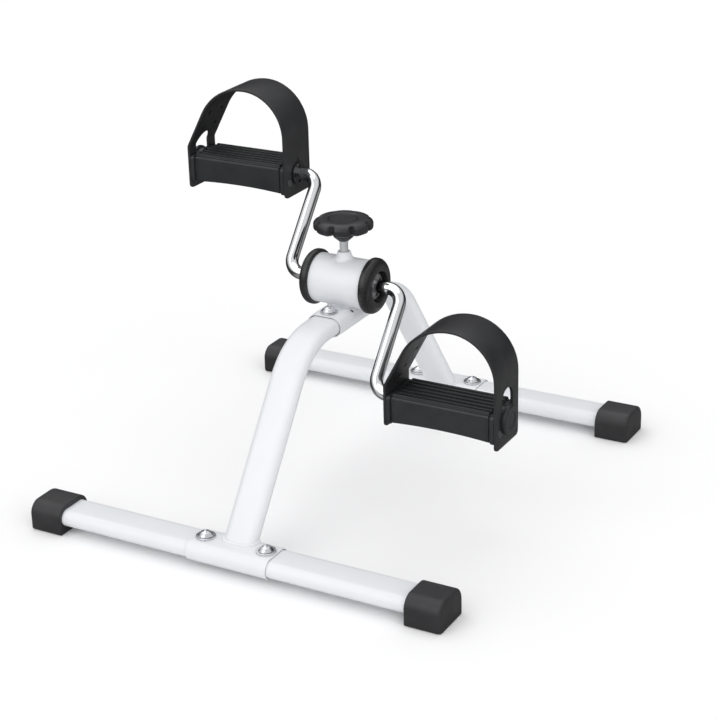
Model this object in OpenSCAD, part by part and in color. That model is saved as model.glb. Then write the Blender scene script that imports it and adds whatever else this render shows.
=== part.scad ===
// Pedal exerciser: a bolted steel floor frame, a hub with a screw-down friction brake,
// two bent-rod cranks and two pedals with toe straps.
// +Z is up, the floor is z = 0, the crank axle lies along X and the origin is on the
// floor under the middle of the hub.  -Y is the front.  All sizes are in millimetres.

/* [Frame] */
// Width over the foot caps
frame_w = 420; // [400:5:440]
// Depth over the front and rear foot caps
frame_d = 450; // [440:5:460]
// Height of the crank axle above the floor
axle_z = 200; // [196:1:206]
// Lean of the straight part of each leg from upright, degrees
leg_lean = 36; // [34:1:38]
// Centre-line radius of each leg's bend
leg_bend_r = 66; // [55:1:72]
// Width of a leg's flat-oval tube
leg_w = 32; // [30:1:33]
// Thickness of a leg's flat-oval tube
leg_t = 16; // [15:0.5:17]
// Wall of every frame tube
tube_wall = 1.5; // [1.2:0.1:1.8]

/* [Feet] */
// Width of a foot tube, front to rear
foot_w = 36; // [34:1:37]
// Height of a foot tube
foot_h = 16; // [15:0.5:16]
// Height of a foot bar's centre above the floor
foot_z = 14.5; // [14:0.5:15]
// Length of the sleeve that joins two foot tubes
sleeve_len = 82; // [76:1:90]
// Distance of each foot bolt from the middle of its bar
foot_bolt_x = 31; // [29:1:33]
// Length, width and height of a rubber foot cap
cap_size = [34, 42.5, 27];

/* [Hub and brake] */
// Outer radius of the hub tube
hub_r = 23; // [22:0.5:24]
// Length of the hub tube
hub_len = 54; // [52:1:56]
// Radius of a hub end cover
cover_r = 26; // [26:0.25:29]
// Outer radius of the friction drum
drum_r = 12; // [11:0.5:12.5]
// Height of the knob's top face above the axle
knob_top = 61.5; // [58:0.5:66]
// Radius over the knob's lobes
knob_r = 28.5; // [28:0.5:32]
// Number of lobes round the knob
knob_lobes = 8; // [6:1:9]

/* [Cranks] */
// Radius of the crank rod
rod_r = 6; // [5.5:0.25:6]
// Throw, from the axle to a pedal pin
crank_throw = 97.5; // [88:0.5:100]
// Rise of the left crank above level, towards the rear, degrees
crank_angle = 50.5; // [0:0.5:90]
// Distance of each crank arm from the middle
arm_x = 61; // [58:0.5:61]
// Centre-line radius of each rod bend
rod_bend_r = 15; // [12:0.5:15]

/* [Pedals] */
// Width of a pedal body, front to rear
pedal_w = 44; // [40:1:48]
// Height of a pedal body, over its ribs
pedal_h = 28; // [27:1:29]
// Length of a pedal over the strap's sides
pedal_len = 110; // [108:1:112]
// Height of the strap's arch above the pedal pin
strap_top = 82; // [80:1:86]
// How far the arch's apex stands to the object's right of the pedal's middle
strap_apex = 11; // [6:1:13]
// Width of the strap band
strap_w = 46; // [42:1:48]
// Thickness of the strap band
strap_t = 2.5; // [2:0.1:2.5]

/* [Hidden] */
$fn = 64;
eps = 0.01;
slip = 0.05; // radial clearance of a running fit
gap = 0.3; // clearance between pieces that only lie close

bar_y = frame_d / 2 - cap_size[1] / 2; // centre of each foot bar
sleeve_wall = 1.3;
sleeve_w = foot_w + 2 * (sleeve_wall + 0.2);
sleeve_h = foot_h + 2 * (sleeve_wall + 0.2);
tube_start_x = 6; // inner end of a foot tube, inside the sleeve
cap_wall = 5; // end wall of a foot cap
cap_shoulder_r = 12;

bracket_wall = 1.5;
bracket_len = 80;
bracket_w = leg_w + 2 * (bracket_wall + 0.3);
bracket_h = leg_t + 2 * (bracket_wall + 0.3);
hub_sink = 2.5; // how far the hub sits into the bracket's top
bracket_z = axle_z - hub_r + hub_sink - bracket_h / 2;
leg_in_y = 14; // inner end of a leg, inside the bracket
bracket_bolt_y = 30.5;
shoulder_hole = [bracket_w / 2 - 4, -12.8]; // centre of the small hole beside the hub's weld
shoulder_hole_r = 1.6;

leg_foot_y = bar_y - 3; // where a leg's centre line meets the foot bar's centre height
leg_corner_y = leg_foot_y - (bracket_z - foot_z) * tan(leg_lean);
leg_turn = 90 - leg_lean;
leg_tangent = leg_bend_r * tan(leg_turn / 2);
leg_arc_y = leg_corner_y - leg_tangent;
leg_arc_z = bracket_z - leg_bend_r;
leg_low_z = leg_arc_z + leg_bend_r * sin(leg_lean);
leg_run = (leg_low_z - foot_z) / cos(leg_lean) + 8;
bend_proud = 0.05; // a bend's wall is this much thicker each way, so that the straight ends fuse into it
bend_lap = 1; // length of a straight end inside the bend

bolt_r = 3.9;
bolt_hole_r = 4.2;
washer_t = 1.6;
washer_r = 9;
head_r = 7;
head_h = 4.8;
nut_flat = 13; // across flats
nut_h = 6.5;

hub_in_r = 21;
cover_x = hub_len / 2; // inner face of a cover's flange
cover_rim = 5;
cover_out_x = cover_x + 10; // outer face of a cover's dome
recess_r = 14.5;
recess_lip_r = recess_r + 2.5;
recess_x = cover_x + 3;
bush_r = 8;
bush_len = 12;

screw_r = 4;
pad_size = [20, 12];
pad_top = 15; // above the axle
plate_t = 1.5;
collar_top = 29.5; // above the axle
boss_top = 50.5; // knob's boss meets its rim here, above the axle
boss_bottom = 39.5;
boss_waist = 43.5; // its taper ends here
knob_cap_r = 12.8;
knob_start = -19; // direction of one lobe at rest, from +X

pin_y = crank_throw * cos(crank_angle);
pin_dz = crank_throw * sin(crank_angle);
pedal_in_x = 84; // strap's inner side
pedal_out_x = pedal_in_x + pedal_len; // strap's outer side
plate_x = 4; // thickness of a pedal's end plates
body_in_x = pedal_in_x + strap_t + plate_x;
body_out_x = pedal_out_x - strap_t - plate_x;
boss_in_x = pedal_in_x; // the boss ends flush with the strap's inner side
boss_r = 11.5;
pocket_r = 11.5;
pocket_x = body_out_x - 2.5;
rod_end_x = body_out_x + 2.5;
pedal_mid_x = (pedal_in_x + pedal_out_x) / 2;
pedal_wall = 3;
pedal_low = -16; // lowest edge of the pedal body, from the pin
pedal_top = pedal_low + pedal_h;
plate_top = pedal_top - 2; // upper edge of both end plates
core_r = 10; // tube inside the pedal body, round its bushes
outer_drop = -23; // lowest edge of the outer end plate, from the pin
inner_drop = -20;
strap_lean = 28; // slope of the strap's long side from upright, degrees
strap_long_r = 54; // arch radius on the long side
ribs = 7;
rib_w = 2.6;
rib_h = 1.5;
pedal_cap_r = 13.4;
clip_t = 1.2;
clip_slot_w = 4;
rivet_y = 16;
rivet_z = [-6, -8]; // at the inner and the outer end
rivet_r = 2;
window_r = 11; // arched window in the strap's outer side
window_z = 18.5; // height of its arch's centre above the pin

/* ---- shared shapes ---- */

// Flat oval with its long side along X
module oval(w, h) {
    square([w - h, h], center = true);
    for (s = [-1, 1]) translate([s * (w - h) / 2, 0]) circle(d = h);
}

module oval_ring(w, h, wall) {
    difference() {
        oval(w, h);
        oval(w - 2 * wall, h - 2 * wall);
    }
}

// Rectangle with round corners, centred on X, its bottom at y = low
module round_rect(w, low, high, r) {
    translate([-w / 2, low + r]) square([w, high - low - 2 * r]);
    translate([-w / 2 + r, low]) square([w - 2 * r, high - low]);
    for (s = [-1, 1], y = [low + r, high - r]) translate([s * (w / 2 - r), y]) circle(r);
}

// A child drawn in X-Y stands in Y-Z and runs along X from x0 to x1
module along_x(x0, x1) {
    translate([x0, 0, 0]) rotate([90, 0, 90]) linear_extrude(x1 - x0) children();
}

module rod_x(r, x0, x1) {
    translate([x0, 0, 0]) rotate([0, 90, 0]) cylinder(r = r, h = x1 - x0);
}

module ring_x(r_out, r_in, x0, x1) {
    difference() {
        rod_x(r_out, x0, x1);
        rod_x(r_in, x0 - 1, x1 + 1);
    }
}

module tube_z(r_out, r_in, h) {
    difference() {
        cylinder(r = r_out, h = h);
        translate([0, 0, -1]) cylinder(r = r_in, h = h + 2);
    }
}

// Domed bolt standing on z = 0 with its shank below, and a cross recess in its head
module dome_bolt(shank) {
    ball_r = (head_r * head_r + head_h * head_h) / (2 * head_h);
    difference() {
        intersection() {
            cylinder(r = head_r, h = head_h);
            translate([0, 0, head_h - ball_r]) sphere(ball_r, $fn = 96);
        }
        for (a = [45, 135])
            rotate([0, 0, a]) translate([-3.2, -0.8, head_h - 2.2]) cube([6.4, 1.6, 3]);
    }
    translate([0, 0, -shank]) cylinder(r = bolt_r, h = shank + eps);
}

module weld_nut() {
    difference() {
        cylinder(d = nut_flat / cos(30), h = nut_h, $fn = 6);
        translate([0, 0, -1]) cylinder(r = bolt_r + slip, h = nut_h + 2);
    }
}

/* ---- hub ---- */

module hub_shell() {
    color("white") translate([0, 0, axle_z]) difference() {
        ring_x(hub_r, hub_in_r, -hub_len / 2, hub_len / 2);
        cylinder(r = screw_r + 1, h = hub_r + 5);
    }
}

module tension_collar() {
    color("white") translate([0, 0, axle_z]) difference() {
        translate([0, 0, hub_in_r - 1]) {
            cylinder(r = 9.5, h = 3);
            translate([0, 0, 3]) cylinder(r1 = 9.5, r2 = 6, h = collar_top - hub_in_r - 2);
        }
        rod_x(hub_r, -30, 30);
        cylinder(r = screw_r + slip, h = collar_top + 1);
    }
}

module hub_cover(side) {
    dome = [
        [bush_r, cover_x - 8], [bush_r, recess_x], [recess_r, recess_x], [recess_r, cover_out_x],
        [recess_lip_r, cover_out_x],
        for (a = [75:-15:0])
            [recess_lip_r + (cover_r - recess_lip_r) * cos(a), cover_x + cover_rim + 5 * sin(a)],
        [cover_r, cover_x + 1.2], [cover_r - 1, cover_x],
        [hub_in_r - slip, cover_x], [hub_in_r - slip, cover_x - 8],
        [hub_in_r - 3, cover_x - 8], [hub_in_r - 3, cover_x - 1.5],
        [bush_r + 3, cover_x - 1.5], [bush_r + 3, cover_x - 8]
    ];
    color("#303133") translate([0, 0, axle_z])
        rotate([0, side * 90, 0]) rotate_extrude($fn = 96) polygon(dome);
}

module hub_bush(side) {
    color("ivory") translate([0, 0, axle_z]) rotate([0, side * 90, 0])
        translate([0, 0, recess_x - bush_len]) tube_z(bush_r, rod_r + slip, bush_len);
}

module thrust_washer(side) {
    color("silver") translate([0, 0, axle_z]) rotate([0, side * 90, 0])
        translate([0, 0, recess_x]) tube_z(13.5, rod_r + 0.2, 1.4);
}

/* ---- brake ---- */

module friction_drum() {
    color("silver") translate([0, 0, axle_z]) difference() {
        ring_x(drum_r, rod_r + 0.02, -15, 15);
        for (x = [-8, 8]) translate([x, 0, 0]) rotate([90, 0, 0]) cylinder(r = 2.02, h = 40, center = true);
    }
}

module drum_pins() {
    color("gray") translate([0, 0, axle_z])
        for (x = [-8, 8]) translate([x, 0, 0]) rotate([90, 0, 0]) cylinder(r = 2, h = 22.4, center = true);
}

module brake_pad() {
    color("tan") translate([0, 0, axle_z]) difference() {
        translate([-pad_size[0] / 2, -pad_size[1] / 2, 8]) cube([pad_size[0], pad_size[1], pad_top - 8]);
        rod_x(drum_r + gap, -20, 20);
    }
}

module pad_plate() {
    color("silver") translate([-pad_size[0] / 2, -pad_size[1] / 2, axle_z + pad_top])
        cube([pad_size[0], pad_size[1], plate_t]);
}

module tension_screw() {
    color("silver") translate([0, 0, axle_z + pad_top + plate_t])
        cylinder(r = screw_r, h = knob_top - 4 - pad_top - plate_t);
}

module tension_knob() {
    lobe_r = 7;
    color("#2b2c2e") translate([0, 0, axle_z]) difference() {
        union() {
            translate([0, 0, boss_top]) linear_extrude(knob_top - boss_top) {
                circle(knob_r - 5);
                for (i = [0:knob_lobes - 1]) rotate(knob_start + i * 360 / knob_lobes)
                    translate([knob_r - lobe_r, 0]) circle(lobe_r);
            }
            translate([0, 0, boss_bottom]) cylinder(r1 = 5.5, r2 = 9.5, h = boss_waist - boss_bottom);
            translate([0, 0, boss_waist - eps])
                cylinder(r1 = 9.5, r2 = 11, h = boss_top - boss_waist + 2 * eps);
        }
        cylinder(r = screw_r + 0.02, h = knob_top - 4 + eps);
        translate([0, 0, knob_top - 1.2]) cylinder(r = knob_cap_r + 0.2, h = 3);
    }
}

module knob_cap() {
    color("#2b2c2e") translate([0, 0, axle_z + knob_top - 1.2]) cylinder(r = knob_cap_r, h = 0.8);
}

/* ---- frame ---- */

module top_bracket() {
    color("white") difference() {
        translate([0, 0, bracket_z]) rotate([90, 0, 0])
            linear_extrude(bracket_len, center = true) oval_ring(bracket_w, bracket_h, bracket_wall);
        translate([0, 0, axle_z]) rod_x(hub_r, -30, 30);
        for (s = [-1, 1]) translate([0, s * bracket_bolt_y, bracket_z]) cylinder(r = bolt_hole_r, h = 20);
        translate([shoulder_hole[0], shoulder_hole[1], bracket_z]) cylinder(r = shoulder_hole_r, h = 20);
    }
}

// The front leg is the rear leg turned half round
module leg(side) {
    color("white") rotate([0, 0, side > 0 ? 0 : 180]) difference() {
        union() {
            translate([0, leg_arc_y + bend_lap, bracket_z]) rotate([90, 0, 0])
                linear_extrude(leg_arc_y + bend_lap - leg_in_y) oval_ring(leg_w, leg_t, tube_wall);
            translate([0, leg_arc_y, leg_arc_z]) rotate([90, 0, 90]) rotate([0, 0, leg_lean])
                rotate_extrude(angle = leg_turn) translate([leg_bend_r, 0]) rotate(90)
                    oval_ring(leg_w + 2 * bend_proud, leg_t + 2 * bend_proud, tube_wall + 2 * bend_proud);
            translate([0, leg_arc_y + leg_bend_r * cos(leg_lean), leg_low_z]) rotate([leg_lean, 0, 0])
                translate([0, 0, bend_lap - leg_run])
                    linear_extrude(leg_run) oval_ring(leg_w, leg_t, tube_wall);
        }
        translate([0, bar_y, foot_z]) along_x(-40, 40) oval(sleeve_w, sleeve_h);
        translate([-30, leg_foot_y - 60, foot_z - 60]) cube([60, 120, 60]);
        translate([0, bracket_bolt_y, bracket_z]) cylinder(r = bolt_hole_r, h = 20);
    }
}

module foot_bolt_holes(y) {
    for (s = [-1, 1]) translate([s * foot_bolt_x, y, foot_z]) cylinder(r = bolt_hole_r, h = 20);
}

module foot_sleeve(y) {
    color("white") difference() {
        translate([0, y, foot_z]) along_x(-sleeve_len / 2, sleeve_len / 2)
            oval_ring(sleeve_w, sleeve_h, sleeve_wall);
        foot_bolt_holes(y);
    }
}

module foot_tube(side, y) {
    color("white") difference() {
        translate([0, y, foot_z]) mirror([side < 0 ? 1 : 0, 0, 0])
            along_x(tube_start_x, frame_w / 2 - cap_wall) oval_ring(foot_w, foot_h, tube_wall);
        foot_bolt_holes(y);
    }
}

module cap_outline() {
    w = cap_size[1];
    h = cap_size[2];
    translate([-w / 2, 0]) square([w, h - cap_shoulder_r]);
    translate([-w / 2 + cap_shoulder_r, 0]) square([w - 2 * cap_shoulder_r, h]);
    for (s = [-1, 1]) translate([s * (w / 2 - cap_shoulder_r), h - cap_shoulder_r]) circle(cap_shoulder_r);
}

module foot_cap(side, y) {
    color("#2f3032") translate([0, y, 0]) mirror([side < 0 ? 1 : 0, 0, 0]) difference() {
        along_x(frame_w / 2 - cap_size[0], frame_w / 2) cap_outline();
        translate([0, 0, foot_z]) along_x(0, frame_w / 2 - cap_wall) oval(foot_w + 0.2, foot_h + 0.2);
    }
}

/* ---- fasteners ---- */

module at_foot_bolts() {
    for (x = [-1, 1], y = [-1, 1]) translate([x * foot_bolt_x, y * bar_y, 0]) children();
}

module at_bracket_bolts() {
    for (y = [-1, 1]) translate([0, y * bracket_bolt_y, 0]) children();
}

module foot_bolts() {
    color("gainsboro") at_foot_bolts()
        translate([0, 0, foot_z + sleeve_h / 2 + washer_t]) dome_bolt(12);
}

module foot_washers() {
    color("silver") at_foot_bolts()
        translate([0, 0, foot_z + sleeve_h / 2]) tube_z(washer_r, bolt_hole_r, washer_t);
}

module foot_weld_nuts() {
    color("gray") at_foot_bolts()
        translate([0, 0, foot_z + foot_h / 2 - tube_wall - nut_h]) weld_nut();
}

module bracket_bolts() {
    color("gainsboro") at_bracket_bolts()
        translate([0, 0, bracket_z + bracket_h / 2 + washer_t]) dome_bolt(12);
}

module bracket_washers() {
    color("silver") at_bracket_bolts()
        translate([0, 0, bracket_z + bracket_h / 2]) tube_z(8, bolt_hole_r, washer_t);
}

module bracket_weld_nuts() {
    color("gray") at_bracket_bolts()
        translate([0, 0, bracket_z + leg_t / 2 - tube_wall - nut_h]) weld_nut();
}

/* ---- cranks ---- */

// Crank with its pin at the end of an arm that points along the local +Z
module crank_rod() {
    arm = crank_throw - 2 * rod_bend_r;
    rod_x(rod_r, 1, arm_x - rod_bend_r);
    translate([arm_x - rod_bend_r, 0, rod_bend_r]) rotate([90, 0, 0]) rotate([0, 0, -90])
        rotate_extrude(angle = 90) translate([rod_bend_r, 0]) circle(rod_r);
    translate([arm_x, 0, rod_bend_r]) cylinder(r = rod_r, h = arm);
    translate([arm_x + rod_bend_r, 0, crank_throw - rod_bend_r]) rotate([90, 0, 0]) rotate([0, 0, 90])
        rotate_extrude(angle = 90) translate([rod_bend_r, 0]) circle(rod_r);
    translate([0, 0, crank_throw]) rod_x(rod_r, arm_x + rod_bend_r, rod_end_x);
}

// side is 1 for the right crank, which points down and forward, and -1 for the left
module crank(side) {
    color("gainsboro") translate([0, 0, axle_z]) difference() {
        rotate([side > 0 ? 90 + crank_angle : crank_angle - 90, 0, 0])
            mirror([side < 0 ? 1 : 0, 0, 0]) crank_rod();
        translate([side * 8, 0, 0]) rotate([90, 0, 0]) cylinder(r = 2.02, h = 40, center = true);
    }
}

// Places a child, drawn round the right pedal pin, at the pedal of one side
module at_pedal(side) {
    translate([0, -side * pin_y, axle_z - side * pin_dz]) mirror([side < 0 ? 1 : 0, 0, 0]) children();
}

// Push-on ring standing on z = 0, which grips the rod between its slots
module toothed_ring(r, slots) {
    difference() {
        tube_z(r, rod_r, clip_t);
        for (i = [0:slots - 1]) rotate([0, 0, i * 360 / slots])
            translate([rod_r + 0.8, -clip_slot_w / 2, -1]) cube([r - rod_r - 2.8, clip_slot_w, clip_t + 2]);
    }
}

module crank_clips() {
    color("gray") translate([0, 0, axle_z]) for (s = [-1, 1]) rotate([0, s * 90, 0])
        translate([0, 0, recess_x + 1.8]) toothed_ring(11.5, 3);
}

module pedal_stop_rings() {
    color("gray") for (s = [-1, 1]) at_pedal(s)
        translate([boss_in_x - gap - clip_t, 0, 0]) rotate([0, 90, 0]) toothed_ring(11, 4);
}

module pedal_push_nuts() {
    color("gray") for (s = [-1, 1]) at_pedal(s) ring_x(9.5, rod_r, pocket_x + 0.6, pocket_x + 2.6);
}

/* ---- pedals, drawn round the right pin ---- */

module pedal_body() {
    inner_len = body_out_x - body_in_x;
    sag = 2;
    sag_half = inner_len / 2 - 2;
    sag_r = (sag_half * sag_half + sag * sag) / (2 * sag);
    face_top = pedal_top - rib_h;
    rib_step = (pedal_w - 5) / (ribs - 1);
    pocket_step = (inner_len - 2) / 4;
    color("#2b2c2e") difference() {
        union() {
            difference() {
                along_x(body_in_x, body_out_x) {
                    round_rect(pedal_w, pedal_low, face_top, 2);
                    for (i = [0:ribs - 1])
                        translate([(i - (ribs - 1) / 2) * rib_step - rib_w / 2, face_top - 1])
                            square([rib_w, rib_h + 1]);
                }
                for (i = [0:3])
                    translate([body_in_x + 2 + i * pocket_step, -pedal_w / 2 + pedal_wall, pedal_low - 1])
                        cube([pocket_step - 2, pedal_w - 2 * pedal_wall,
                              face_top - pedal_wall - pedal_low + 1]);
                translate([pedal_mid_x, 0, pedal_low + sag - sag_r]) rotate([90, 0, 0])
                    cylinder(r = sag_r, h = pedal_w + 2, center = true, $fn = 360);
            }
            rod_x(core_r, body_in_x - 1, body_out_x + 1);
            along_x(body_in_x - plate_x, body_in_x) round_rect(strap_w, inner_drop, plate_top, 4);
            along_x(body_out_x, body_out_x + plate_x) round_rect(strap_w, outer_drop, plate_top, 4);
            rod_x(boss_r, boss_in_x, body_in_x - 1.5);
        }
        rod_x(bush_r + slip, boss_in_x - 1, pocket_x + 1);
        rod_x(pocket_r, pocket_x, pedal_out_x);
        for (s = [-1, 1]) {
            translate([0, s * rivet_y, rivet_z[0]]) rod_x(rivet_r + slip, pedal_in_x, body_in_x + 1);
            translate([0, s * rivet_y, rivet_z[1]]) rod_x(rivet_r + slip, body_out_x - 1, pedal_out_x);
        }
    }
}

// Points of an arc, from one angle to another
function arc(centre, r, from, to, steps = 14) =
    [for (i = [0:steps]) let (a = from + (to - from) * i / steps) centre + r * [cos(a), sin(a)]];

// The strap's edge from its long side, over the arch and down its short side, moved inwards by inset
function strap_edge(inset, long_low, short_low) =
    let (
        half = pedal_len / 2,
        long_c = [strap_apex, strap_top - strap_long_r],
        short_r = half - strap_apex,
        short_c = [strap_apex, strap_top - short_r],
        turn = long_c + strap_long_r * [-cos(strap_lean), sin(strap_lean)],
        knee_z = turn[1] - (turn[0] + half) / tan(strap_lean)
    )
    concat(
        [[inset - half, long_low], [inset - half, knee_z - inset * tan(strap_lean / 2)]],
        arc(long_c, strap_long_r - inset, 180 - strap_lean, 90),
        arc(short_c, short_r - inset, 90, 0),
        [[half - inset, short_low]]
    );

module strap_band(long_low, short_low) {
    outer = strap_edge(0, long_low, short_low);
    inner = strap_edge(strap_t, long_low, short_low);
    last = len(inner) - 1;
    rotate([90, 0, 0]) linear_extrude(strap_w, center = true)
        polygon(concat(outer, [for (i = [0:last]) inner[last - i]]));
}

// Both arches lean to the object's right, so the left pedal's long side is its outer one
module pedal_strap(side) {
    long_low = side > 0 ? inner_drop : outer_drop;
    short_low = side > 0 ? outer_drop : inner_drop;
    color("#242527") difference() {
        translate([pedal_mid_x, 0, 0]) mirror([side < 0 ? 1 : 0, 0, 0]) strap_band(long_low, short_low);
        // foot window, cap hole and boss hole
        along_x(pedal_out_x - strap_t - 4, pedal_out_x + 1) {
            translate([0, window_z]) circle(window_r);
            translate([-window_r, pedal_top - 1]) square([2 * window_r, window_z - pedal_top + 1]);
        }
        rod_x(pocket_r - slip, pedal_out_x - strap_t - 1, pedal_out_x + 1);
        rod_x(boss_r + 0.2, pedal_in_x - 1, pedal_in_x + strap_t + 1);
        // adjusting holes
        for (y = [-10, 10]) translate([0, y, 36]) rod_x(2, pedal_out_x - 20, pedal_out_x + 1);
        translate([0, 4, 30]) rod_x(2, pedal_in_x - 1, pedal_in_x + 20);
        for (s = [-1, 1]) {
            translate([0, s * rivet_y, rivet_z[0]]) rod_x(rivet_r + slip, pedal_in_x - 1, body_in_x);
            translate([0, s * rivet_y, rivet_z[1]]) rod_x(rivet_r + slip, body_out_x, pedal_out_x + 1);
        }
    }
}

module rivet_head() {
    intersection() {
        cylinder(r = 3.6, h = 1.8);
        translate([0, 0, 1.8 - 4.5]) sphere(4.5);
    }
}

module pedal_rivets() {
    shank = strap_t + plate_x;
    color("#3a3b3d") for (s = [-1, 1]) {
        translate([pedal_in_x, s * rivet_y, rivet_z[0]]) {
            rod_x(rivet_r, -eps, shank);
            rotate([0, -90, 0]) rivet_head();
        }
        translate([pedal_out_x, s * rivet_y, rivet_z[1]]) {
            rod_x(rivet_r, -shank, eps);
            rotate([0, 90, 0]) rivet_head();
        }
    }
}

module pedal_bushes() {
    color("ivory") {
        ring_x(bush_r, rod_r + slip, boss_in_x + 0.5, boss_in_x + 20);
        ring_x(bush_r, rod_r + slip, pocket_x - 20, pocket_x);
    }
}

module pedal_cap() {
    color("#2b2c2e") {
        ring_x(pocket_r - 2 * slip, 9.8, pocket_x + 3.2, pedal_out_x + eps);
        rod_x(pedal_cap_r, pedal_out_x, pedal_out_x + 2.6);
        translate([pedal_out_x + 2.6 - eps, 0, 0]) rotate([0, 90, 0])
            cylinder(r1 = pedal_cap_r, r2 = pedal_cap_r - 2, h = 1.6);
    }
}

hub_shell();
tension_collar();
top_bracket();
leg(-1);  // front_leg
leg(1);  // rear_leg
foot_sleeve(-bar_y);  // front_foot_sleeve
foot_sleeve(bar_y);  // rear_foot_sleeve
foot_tube(-1, -bar_y);  // front_left_foot_tube
foot_tube(1, -bar_y);  // front_right_foot_tube
foot_tube(-1, bar_y);  // rear_left_foot_tube
foot_tube(1, bar_y);  // rear_right_foot_tube
foot_cap(-1, -bar_y);  // front_left_foot_cap
foot_cap(1, -bar_y);  // front_right_foot_cap
foot_cap(-1, bar_y);  // rear_left_foot_cap
foot_cap(1, bar_y);  // rear_right_foot_cap
foot_bolts();
foot_washers();
foot_weld_nuts();
bracket_bolts();
bracket_washers();
bracket_weld_nuts();
hub_cover(-1);  // left_hub_cover
hub_cover(1);  // right_hub_cover
hub_bush(-1);  // left_hub_bush
hub_bush(1);  // right_hub_bush
thrust_washer(-1);  // left_thrust_washer
thrust_washer(1);  // right_thrust_washer
friction_drum();
drum_pins();
crank(-1);  // left_crank
crank(1);  // right_crank
crank_clips();
pedal_stop_rings();
pedal_push_nuts();
brake_pad();
pad_plate();
tension_screw();
tension_knob();
knob_cap();
at_pedal(-1) pedal_body();  // left_pedal_body
at_pedal(-1) pedal_strap(-1);  // left_pedal_strap
at_pedal(-1) pedal_rivets();  // left_pedal_rivets
at_pedal(-1) pedal_bushes();  // left_pedal_bushes
at_pedal(-1) pedal_cap();  // left_pedal_cap
at_pedal(1) pedal_body();  // right_pedal_body
at_pedal(1) pedal_strap(1);  // right_pedal_strap
at_pedal(1) pedal_rivets();  // right_pedal_rivets
at_pedal(1) pedal_bushes();  // right_pedal_bushes
at_pedal(1) pedal_cap();  // right_pedal_cap
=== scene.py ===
"""Looks of the pedal exerciser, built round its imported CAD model.

Every size is in millimetres in the CAD model's own frame, and solid() turns it into metres.
"""

import math

import bmesh
import bpy
from mathutils import Matrix, Vector


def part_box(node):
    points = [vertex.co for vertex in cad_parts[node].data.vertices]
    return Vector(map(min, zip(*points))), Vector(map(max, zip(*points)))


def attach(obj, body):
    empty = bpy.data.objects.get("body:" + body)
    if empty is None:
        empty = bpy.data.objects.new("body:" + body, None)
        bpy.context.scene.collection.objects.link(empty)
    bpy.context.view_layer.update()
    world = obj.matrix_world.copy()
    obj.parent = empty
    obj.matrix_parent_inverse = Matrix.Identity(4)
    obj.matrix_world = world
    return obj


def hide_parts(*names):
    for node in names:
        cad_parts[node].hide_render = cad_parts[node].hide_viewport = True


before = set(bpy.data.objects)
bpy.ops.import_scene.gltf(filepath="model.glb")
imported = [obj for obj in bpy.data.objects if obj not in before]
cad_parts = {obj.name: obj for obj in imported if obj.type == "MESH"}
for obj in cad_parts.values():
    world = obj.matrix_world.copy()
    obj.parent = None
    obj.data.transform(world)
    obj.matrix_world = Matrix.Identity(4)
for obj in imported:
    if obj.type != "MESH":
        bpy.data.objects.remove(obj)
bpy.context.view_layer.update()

MM = 0.001
X = Vector((1, 0, 0))
Z = Vector((0, 0, 1))
ORIGIN = Vector((0, 0, 0))
scene = bpy.context.scene


# ---- sizes that the CAD nodes give ----

def span(node):
    """Lowest and highest corner of a CAD node."""
    low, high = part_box(node)
    return low / MM, high / MM


def middle(node):
    """Centre of a CAD node's box."""
    low, high = span(node)
    return (low + high) / 2


hub_low, hub_high = span("hub_shell")
AXLE_Z = middle("hub_shell").z
HUB_R = (hub_high.z - hub_low.z) / 2
HUB_HALF = hub_high.x
BAR_Y = middle("rear_foot_sleeve").y
FOOT_Z = middle("rear_foot_sleeve").z
sleeve_low, sleeve_high = span("rear_foot_sleeve")
SLEEVE_HALF = sleeve_high.x
SLEEVE_W = sleeve_high.y - sleeve_low.y
SLEEVE_H = sleeve_high.z - sleeve_low.z
bracket_low, bracket_high = span("top_bracket")
BRACKET_Z = middle("top_bracket").z
BRACKET_W = bracket_high.x - bracket_low.x
BRACKET_H = bracket_high.z - bracket_low.z
PIN_RIGHT = middle("right_pedal_cap")
PIN_LEFT = middle("left_pedal_cap")
ROD_END = span("right_crank")[1].x

# Sizes inside the nodes' boxes, as the CAD model has them
LEG_W, LEG_T, LEG_WALL = 32, 16, 1.5
LEG_LEAN = math.radians(36)
LEG_BEND_R = 66
LEG_FOOT_OFFSET = 3
LEG_START_Y = 14
ROD_R = 6
ROD_BEND_R = 15
ARM_X = 61
HUB_WALL = 2
FOOT_WALL = 1.5
BUSH_R = 8
BOLT_R = 3.9
BOLT_HOLE_R = 4.2
BOLT_HEAD_R = 7
SCREW_R = 4
THREAD_PITCH = 1.25


# ---- outlines ----

def arc(cx, cy, r, start, end, steps=8):
    """Points of an arc, with its angles in degrees."""
    angles = [math.radians(start + (end - start) * i / steps) for i in range(steps + 1)]
    return [(cx + r * math.cos(a), cy + r * math.sin(a)) for a in angles]


def rounded(corners, radius, steps=5):
    """A closed outline with every corner turned into an arc. radius is one number, or one for each corner."""
    radii = radius if isinstance(radius, (list, tuple)) else [radius] * len(corners)
    points = []
    for i, (corner, r) in enumerate(zip(corners, radii)):
        p = Vector(corner)
        if r <= 0:
            points.append(tuple(p))
            continue
        before = (Vector(corners[i - 1]) - p).normalized()
        after = (Vector(corners[(i + 1) % len(corners)]) - p).normalized()
        half = before.angle(after) / 2
        centre = p + (before + after).normalized() * r / math.sin(half)
        first = p + before * r / math.tan(half) - centre
        last = p + after * r / math.tan(half) - centre
        turn = first.angle_signed(last)
        for k in range(steps + 1):
            a = -turn * k / steps
            x, y = first
            points.append((centre.x + x * math.cos(a) - y * math.sin(a),
                           centre.y + x * math.sin(a) + y * math.cos(a)))
    return points


def oval(w, h, steps=12):
    """Flat oval with its long side along the first axis."""
    flat = (w - h) / 2
    return arc(flat, 0, h / 2, -90, 90, steps) + arc(-flat, 0, h / 2, 90, 270, steps)


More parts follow.
